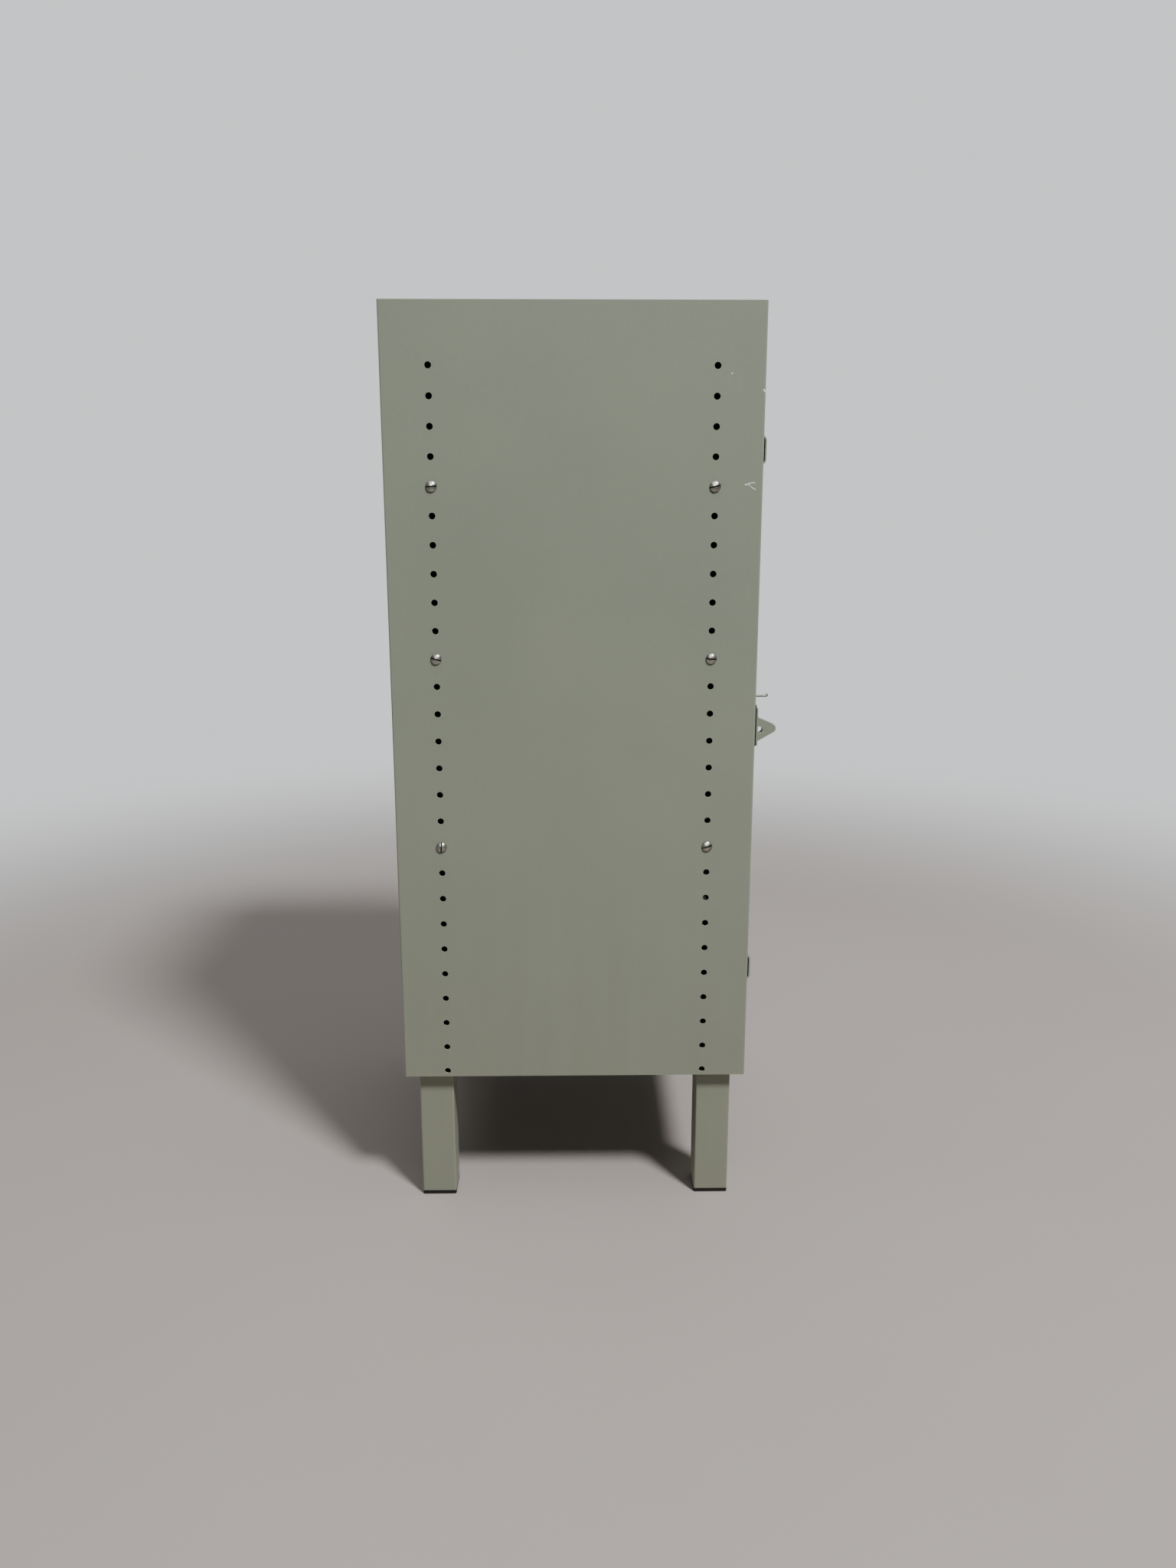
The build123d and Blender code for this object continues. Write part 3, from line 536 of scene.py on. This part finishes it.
def slotted_screws_tree():
    """Slotted dome-head screws, heads up from the seat."""
    head_sizes = ["Head diameter", "Head height", "Dome radius", "Slot width", "Slot depth"]
    shank_sizes = ["Shank diameter", "Shank length", "Thread pitch"]
    tree, given = start_tree("slotted_screws", head_sizes + shank_sizes)
    height = given["Head height"]
    head = domed_head(tree, given["Head diameter"], height, given["Dome radius"])
    length = add(tree, "ShaderNodeMath", {0: given["Head diameter"], 1: 1.5}, operation="MULTIPLY")
    depth = add(tree, "ShaderNodeMath", {0: given["Slot depth"], 1: 2.0}, operation="MULTIPLY")
    cut = add(tree, "ShaderNodeCombineXYZ", {"X": length, "Y": given["Slot width"], "Z": depth})
    cut = add(tree, "GeometryNodeMeshCube", {"Size": cut})
    cut = {"Mesh 1": head, "Mesh 2": shifted(tree, cut, height)}
    head = add(tree, "GeometryNodeMeshBoolean", cut, operation="DIFFERENCE")
    shank = [given[size] for size in shank_sizes]
    shank = threaded_shank(tree, *shank)
    down = add(tree, "ShaderNodeMath", {0: given["Shank length"], 1: -1.0}, operation="MULTIPLY")
    screw = add(tree, "GeometryNodeJoinGeometry", {"Geometry": [head, shifted(tree, shank, down)]})
    end_tree(tree, given, copies_on(tree, given["Places"], screw))
    return tree


def hexagon_nuts_tree():
    """Hexagon nuts standing on the seat."""
    tree, given = start_tree("hexagon_nuts", ["Across flats", "Height", "Bore diameter"])
    body = hexagon_body(tree, given["Across flats"], given["Height"])
    radius = add(tree, "ShaderNodeMath", {0: given["Bore diameter"], 1: 0.5}, operation="MULTIPLY")
    depth = add(tree, "ShaderNodeMath", {0: given["Height"], 1: 2.0}, operation="MULTIPLY")
    bore = {"Vertices": bore_sides, "Radius": radius, "Depth": depth}
    bore = add(tree, "GeometryNodeMeshCylinder", bore)
    cut = {"Mesh 1": body, "Mesh 2": bore}
    nut = add(tree, "GeometryNodeMeshBoolean", cut, operation="DIFFERENCE")
    middle = add(tree, "ShaderNodeMath", {0: given["Height"], 1: 0.5}, operation="MULTIPLY")
    end_tree(tree, given, copies_on(tree, given["Places"], shifted(tree, nut, middle)))
    return tree


def hexagon_bolts_tree():
    """Hexagon bolts pointing up, heads below the seat."""
    head_sizes = ["Across flats", "Head height"]
    shank_sizes = ["Shank diameter", "Shank length", "Thread pitch"]
    tree, given = start_tree("hexagon_bolts", head_sizes + shank_sizes)
    head = hexagon_body(tree, given["Across flats"], given["Head height"])
    drop = add(tree, "ShaderNodeMath", {0: given["Head height"], 1: -0.5}, operation="MULTIPLY")
    shank = [given[size] for size in shank_sizes]
    shank = threaded_shank(tree, *shank)
    bolt = add(tree, "GeometryNodeJoinGeometry", {"Geometry": [shifted(tree, head, drop), shank]})
    end_tree(tree, given, copies_on(tree, given["Places"], bolt))
    return tree


def rivet_heads_tree():
    """Domed rivet heads standing on the seat."""
    tree, given = start_tree("rivet_heads", ["Diameter", "Height", "Dome radius"])
    head = domed_head(tree, given["Diameter"], given["Height"], given["Dome radius"])
    end_tree(tree, given, copies_on(tree, given["Places"], head))
    return tree


def spot_welds_tree():
    """Round marks that spot welding leaves under the paint, evenly along lines."""
    tree, given = start_tree("spot_welds", ["Diameter", "Ring width", "Proud", "Spacing"])
    line = add(tree, "GeometryNodeMeshToCurve", {"Mesh": given["Places"]})
    steps = {"Curve": line, "Length": given["Spacing"]}
    points = add(tree, "GeometryNodeResampleCurve", steps, mode="LENGTH")
    radius = add(tree, "ShaderNodeMath", {0: given["Diameter"], 1: 0.5}, operation="MULTIPLY")
    half = add(tree, "ShaderNodeMath", {0: given["Ring width"], 1: 0.5}, operation="MULTIPLY")
    circle = {"Resolution": spot_sides, "Radius": radius}
    circle = add(tree, "GeometryNodeCurvePrimitiveCircle", circle)
    section = {"Resolution": spot_section_sides, "Radius": half}
    section = add(tree, "GeometryNodeCurvePrimitiveCircle", section)
    ring = add(tree, "GeometryNodeCurveToMesh", {"Curve": circle, "Profile Curve": section})
    flat = add(tree, "ShaderNodeMath", {0: given["Proud"], 1: half}, operation="DIVIDE")
    scale = add(tree, "ShaderNodeCombineXYZ", {"X": 1.0, "Y": 1.0, "Z": flat})
    ring = add(tree, "GeometryNodeTransform", {"Geometry": ring, "Scale": scale})
    end_tree(tree, given, copies_on(tree, points, ring))
    return tree


def weld_beads_tree():
    """Rippled weld beads along lines."""
    tree, given = start_tree("weld_beads", ["Bead radius", "Ripple", "Ripple length", "Step"])
    line = add(tree, "GeometryNodeMeshToCurve", {"Mesh": given["Places"]})
    steps = {"Curve": line, "Length": given["Step"]}
    line = add(tree, "GeometryNodeResampleCurve", steps, mode="LENGTH")
    fine = add(tree, "ShaderNodeMath", {0: 1.0, 1: given["Ripple length"]}, operation="DIVIDE")
    waves = add(tree, "ShaderNodeTexNoise", {"Scale": fine, "Detail": 1.0})
    swell = {0: waves, 1: given["Ripple"], 2: 1.0}
    swell = add(tree, "ShaderNodeMath", swell, operation="MULTIPLY_ADD")
    section = {"Resolution": bead_sides, "Radius": given["Bead radius"]}
    section = add(tree, "GeometryNodeCurvePrimitiveCircle", section)
    sweep = {"Curve": line, "Profile Curve": section, "Scale": swell, "Fill Caps": True}
    end_tree(tree, given, add(tree, "GeometryNodeCurveToMesh", sweep))
    return tree


def grow(name, tree, places, turns, edges, sizes, finish, body, slot):
    """Piece that a tree makes on the given places, as a plain mesh that rides on a body."""
    mesh = bpy.data.meshes.new(name)
    mesh.from_pydata(places, edges, [])
    turn = mesh.attributes.new("turn", "FLOAT_VECTOR", "POINT")
    turn.data.foreach_set("vector", [angle for one in turns for angle in one])
    piece = bpy.data.objects.new(name, mesh)
    bpy.context.scene.collection.objects.link(piece)
    grower = piece.modifiers.new("grow", "NODES")
    grower.node_group = tree
    given = {**sizes, "Finish": finish}
    for socket in tree.interface.items_tree:
        if socket.in_out == "INPUT" and socket.name in given:
            grower[socket.identifier] = given[socket.name]
    evaluated = piece.evaluated_get(bpy.context.evaluated_depsgraph_get())
    made = bpy.data.meshes.new_from_object(evaluated)
    # Points that nearly meet are joined and faces are split into triangles, so no sliver stays
    work = bmesh.new()
    work.from_mesh(made)
    bmesh.ops.remove_doubles(work, verts=work.verts, dist=grown_merge)
    bmesh.ops.dissolve_degenerate(work, edges=work.edges, dist=grown_merge)
    bmesh.ops.triangulate(work, faces=work.faces, quad_method="BEAUTY", ngon_method="BEAUTY")
    work.to_mesh(made)
    work.free()
    piece.modifiers.clear()
    piece.data = made
    made.name = name
    made.shade_smooth()
    made.set_sharp_from_angle(angle=sharp_angle)
    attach(piece, body)
    return piece


def facing_turn(direction, slot_degrees=0.0):
    """Turn that points a fastener along +X or -X, with its slot at an angle in that side's view."""
    outward = math.copysign(1.0, direction)
    across = Vector((0.0, outward, 0.0))
    out = Vector((outward, 0.0, 0.0))
    stand = Matrix((across, out.cross(across), out)).transposed()
    spin = Matrix.Rotation(math.radians(slot_degrees), 3, "Z")
    return (stand @ spin).to_euler()


def grow_shelf_screws(finish):
    """Twelve screws, two at each end of each shelf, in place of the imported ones."""
    places = []
    turns = []
    for shelf, angles in screw_slot_turns.items():
        boxes = solid_boxes(f"shelf_{shelf}_screws")
        boxes.sort(key=lambda box: (box[0].x > 0, -box[0].y))
        for (low, high), angle in zip(boxes, angles):
            middle = (low + high) / 2
            places.append((math.copysign(body_high.x, middle.x), middle.y, middle.z))
            turns.append(facing_turn(middle.x, angle))
    low, high = boxes[-1]
    head = high.y - low.y
    head_height = high.x - body_high.x
    sizes = {
        "Head diameter": head,
        "Head height": head_height,
        "Dome radius": dome_radius_of(head, head_height, screw_rim),
        "Slot width": screw_slot_width,
        "Slot depth": screw_slot_depth,
        "Shank diameter": screw_shank,
        "Shank length": body_high.x - low.x,
        "Thread pitch": screw_pitch,
    }
    tree = slotted_screws_tree()
    piece = grow("shelf_screws", tree, places, turns, [], sizes, finish, "carcass", "nickel_screw")
    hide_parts(*[f"shelf_{shelf}_screws" for shelf in screw_slot_turns])
    return piece


def grow_shelf_nuts(finish, tree):
    """Twelve nuts inside the shelves' flanges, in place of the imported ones."""
    places = []
    turns = []
    for shelf in screw_slot_turns:
        for low, high in solid_boxes(f"shelf_{shelf}_nuts"):
            middle = (low + high) / 2
            seat = low.x if middle.x < 0 else high.x
            places.append((seat, middle.y, middle.z))
            turns.append(facing_turn(-middle.x))
    flats = min(high.y - low.y, high.z - low.z)
    sizes = {"Across flats": flats, "Height": high.x - low.x, "Bore diameter": nut_bore}
    piece = grow("shelf_nuts", tree, places, turns, [], sizes, finish, "carcass", "zinc_steel")
    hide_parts(*[f"shelf_{shelf}_nuts" for shelf in screw_slot_turns])


def grow_leg_fasteners(finish, nut_tree):
    """Bolts through the leg plates and their nuts above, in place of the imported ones."""
    boxes = solid_boxes("leg_bolts")
    middles = [(low + high) / 2 for low, high in boxes]
    turns = [Euler((0.0, 0.0, 0.0))] * len(boxes)
    low, high = boxes[0]
    flats = min(high.x - low.x, high.y - low.y)
    places = [(middle.x, middle.y, low.z + leg_bolt_head) for middle in middles]
    sizes = {
        "Across flats": flats,
        "Head height": leg_bolt_head,
        "Shank diameter": leg_bolt_shank,
        "Shank length": high.z - low.z - leg_bolt_head,
        "Thread pitch": leg_bolt_pitch,
    }
    tree = hexagon_bolts_tree()
    dressing = (finish, "carcass", "zinc_steel")
    piece = grow("leg_bolts_made", tree, places, turns, [], sizes, *dressing)
    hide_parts("leg_bolts")

    low, high = solid_boxes("leg_nuts")[0]
    places = [(middle.x, middle.y, low.z) for middle in middles]
    sizes = {"Across flats": flats, "Height": high.z - low.z, "Bore diameter": leg_bolt_shank}
    piece = grow("leg_nuts_made", nut_tree, places, turns, [], sizes, *dressing)
    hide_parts("leg_nuts")


def grow_rivet_heads(finish):
    """Domes over the rivets of the two padlock ears."""
    tree = rivet_heads_tree()
    toward_front = Euler((math.pi / 2, 0.0, 0.0))
    for ear, body in (("frame", "carcass"), ("door", "door")):
        boxes = solid_boxes(f"{ear}_ear_rivets")
        places = [((low.x + high.x) / 2, low.y, (low.z + high.z) / 2) for low, high in boxes]
        low, high = boxes[0]
        diameter = high.x - low.x + rivet_cover
        dome_radius = dome_radius_of(diameter, rivet_dome, rivet_rim)
        sizes = {"Diameter": diameter, "Height": rivet_dome, "Dome radius": dome_radius}
        turns = [toward_front] * len(places)
        grow(f"{ear}_ear_rivet_heads", tree, places, turns, [], sizes, finish, body, "zinc_steel")


def grow_spot_welds(name, tree, columns, face, low, high, finish, body):
    """Spot welds in upright columns on a face that looks to the back."""
    toward_back = Euler((-math.pi / 2, 0.0, 0.0))
    places = []
    rows = []
    for x in columns:
        rows.append((len(places), len(places) + 1))
        places += [(x, face, low + spot_end_gap), (x, face, high - spot_end_gap)]
    turns = [toward_back] * len(places)
    sizes = {
        "Diameter": spot_diameter,
        "Ring width": spot_ring,
        "Proud": spot_proud,
        "Spacing": spot_spacing,
    }
    grow(name, tree, places, turns, rows, sizes, finish, body, "grey_green_paint")


def grow_all_spot_welds(body_finish, door_finish):
    """Spot welds down the body's back flanges, and down the feet of the door's stiffener."""
    tree = spot_welds_tree()
    column = body_high.x - back_flange / 2
    columns = (-column, column)
    reach = (body_high.y, body_low.z, body_high.z)
    grow_spot_welds("back_spot_welds", tree, columns, *reach, body_finish, "carcass")
    low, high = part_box("door_stiffener")
    columns = (low.x + stiffener_foot / 2, high.x - stiffener_foot / 2)
    reach = (low.y + sheet, low.z, high.z)
    grow_spot_welds("stiffener_spot_welds", tree, columns, *reach, door_finish, "door")


def grow_leg_welds(finish):
    """Weld beads in the inner corners between each leg and its plate."""
    places = []
    rows = []
    for leg in leg_names:
        low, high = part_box(f"leg_{leg}")
        middle = (low + high) / 2
        half = (high - low) / 2
        inward_x = 1.0 if leg.endswith("left") else -1.0
        inward_y = 1.0 if leg.startswith("front") else -1.0
        corner_x = middle.x + inward_x * (half.x + bead_offset)
        corner_y = middle.y + inward_y * (half.y + bead_offset)
        end_x = middle.x - inward_x * (half.x - bead_end_gap)
        end_y = middle.y - inward_y * (half.y - bead_end_gap)
        z = high.z - bead_offset
        first = len(places)
        places += [(corner_x, end_y, z), (corner_x, corner_y, z), (end_x, corner_y, z)]
        rows += [(first, first + 1), (first + 1, first + 2)]
    sizes = {
        "Bead radius": bead_radius,
        "Ripple": bead_ripple,
        "Ripple length": bead_ripple_length,
        "Step": bead_step,
    }
    turns = [Euler((0.0, 0.0, 0.0))] * len(places)
    tree = weld_beads_tree()
    grow("leg_welds", tree, places, turns, rows, sizes, finish, "carcass", "grey_green_paint")


def dress(node, finish):
    """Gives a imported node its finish."""
    for slot in nodes[node].material_slots:
        slot.material = finish


def dress_nodes():
    """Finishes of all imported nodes, and the grown fasteners and welds. Gives the shelf screws."""
    body_paint = grey_green_enamel("grey_green_stove_enamel_body", body_low, body_high, side_marks)
    door_paint = grey_green_enamel("grey_green_stove_enamel_door", door_low, door_high)
    slot_floor = cad_high.x - body_high.x - screw_slot_depth
    nickel = nickel_plated_steel("nickel_plated_turned_steel", slot_floor)
    zinc = zinc_plated_steel("zinc_plated_steel")
    finishes = {
        "grey_green_paint": body_paint,
        "nickel_screw": nickel,
        "zinc_steel": zinc,
        "black_plastic": black_polythene("black_moulded_polythene"),
        "black_rubber": black_rubber("black_moulded_rubber"),
    }
    for node, slot in slot_of.items():
        dress(node, finishes[slot])
    for node in bodies["door"]:
        if slot_of[node] == "grey_green_paint":
            dress(node, door_paint)
    low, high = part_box("slide_bolt")
    bolt_paint = "grey_green_stove_enamel_bolt"
    dress("slide_bolt", grey_green_enamel(bolt_paint, low, high, even_darkening=bolt_darkening))
    for leg in leg_names:
        low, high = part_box(f"leg_{leg}")
        dress(f"leg_{leg}", grey_green_enamel(f"grey_green_stove_enamel_leg_{leg}", low, high))
    nut_tree = hexagon_nuts_tree()
    screws = grow_shelf_screws(nickel)
    grow_shelf_nuts(zinc, nut_tree)
    grow_leg_fasteners(zinc, nut_tree)
    grow_rivet_heads(zinc)
    grow_all_spot_welds(body_paint, door_paint)
    grow_leg_welds(body_paint)
    return screws


def studio_floor():
    """Plain pale floor that fades out before its rim."""
    mesh = bpy.data.meshes.new("floor")
    work = bmesh.new()
    bmesh.ops.create_circle(work, cap_ends=True, segments=floor_sides, radius=floor_radius)
    work.to_mesh(mesh)
    work.free()
    floor = bpy.data.objects.new("floor", mesh)
    bpy.context.scene.collection.objects.link(floor)
    material, tree, coords = start_material("pale_floor")
    far = add(tree, "ShaderNodeVectorMath", {0: coords}, operation="LENGTH").outputs["Value"]
    fade = {"Value": far, "From Min": floor_fade_start, "From Max": floor_fade_end}
    fade = add(tree, "ShaderNodeMapRange", fade, interpolation_type="SMOOTHSTEP")
    clouds = add(tree, "ShaderNodeTexNoise", {"Vector": coords, "Scale": per(420), "Detail": 3.0})
    colours = {0: clouds, 6: linear("#9f9792"), 7: linear("#a59d98")}
    colour = add(tree, "ShaderNodeMix", colours, data_type="RGBA").outputs[2]
    plain = add(tree, "ShaderNodeBsdfPrincipled", {"Base Color": colour, "Roughness": 0.7})
    clear = add(tree, "ShaderNodeBsdfTransparent")
    surface = add(tree, "ShaderNodeMixShader", {0: fade, 1: plain, 2: clear})
    add(tree, "ShaderNodeOutputMaterial", {"Surface": surface})
    mesh.materials.append(material)
    return floor


def studio_light(floor, screws):
    """Soft lamps that the camera doesn't see, and an even pale surround that lights weakly and shows
    in bright metal."""
    all_but_floor = bpy.data.collections.new("all_but_floor")
    all_but_floor.objects.link(floor)
    all_but_floor.collection_objects[0].light_linking.link_state = "EXCLUDE"
    screws_only = bpy.data.collections.new("screws_only")
    screws_only.objects.link(screws)
    receivers = {"everything": None, "all_but_floor": all_but_floor, "screws": screws_only}
    for name, (place, size, power, lit) in lamps.items():
        lamp = bpy.data.lights.new(name, "AREA")
        lamp.shape = "DISK"
        lamp.size = size
        lamp.energy = power
        lamp_object = bpy.data.objects.new(name, lamp)
        lamp_object.location = place
        lamp_object.rotation_euler = (lamp_aim - place).to_track_quat("-Z", "Y").to_euler()
        lamp_object.visible_camera = False
        lamp_object.light_linking.receiver_collection = receivers[lit]
        bpy.context.scene.collection.objects.link(lamp_object)
    world = bpy.data.worlds.new("pale_surround")
    world.use_nodes = True
    tree = world.node_tree
    tree.nodes.clear()
    ray = add(tree, "ShaderNodeLightPath").outputs
    glossy = ray["Is Glossy Ray"]
    strength = {"Value": glossy, "To Min": surround_light, "To Max": surround_mirrored}
    strength = add(tree, "ShaderNodeMapRange", strength)
    strength = {"Value": ray["Is Camera Ray"], "To Min": strength, "To Max": surround_seen}
    strength = add(tree, "ShaderNodeMapRange", strength)
    pale = add(tree, "ShaderNodeBackground", {"Color": linear("#c6c8ca"), "Strength": strength})
    add(tree, "ShaderNodeOutputWorld", {"Surface": pale})
    bpy.context.scene.world = world


def photo_camera():
    """Camera where the photograph's camera stood."""
    camera = bpy.data.cameras.new("photo_camera")
    camera.sensor_width = sensor
    camera.lens = sensor * photo_focal / photo_height
    camera.clip_start = camera_near
    camera.clip_end = camera_far
    level = math.cos(camera_pitch)
    aside = -math.sin(camera_yaw) * level
    forward = Vector((math.cos(camera_yaw) * level, aside, -math.sin(camera_pitch)))
    camera_object = bpy.data.objects.new("photo_camera", camera)
    camera_object.location = camera_place
    camera_object.rotation_euler = forward.to_track_quat("-Z", "Y").to_euler()
    bpy.context.scene.collection.objects.link(camera_object)
    bpy.context.scene.camera = camera_object


dressed_screws = dress_nodes()
studio_light(studio_floor(), dressed_screws)
photo_camera()
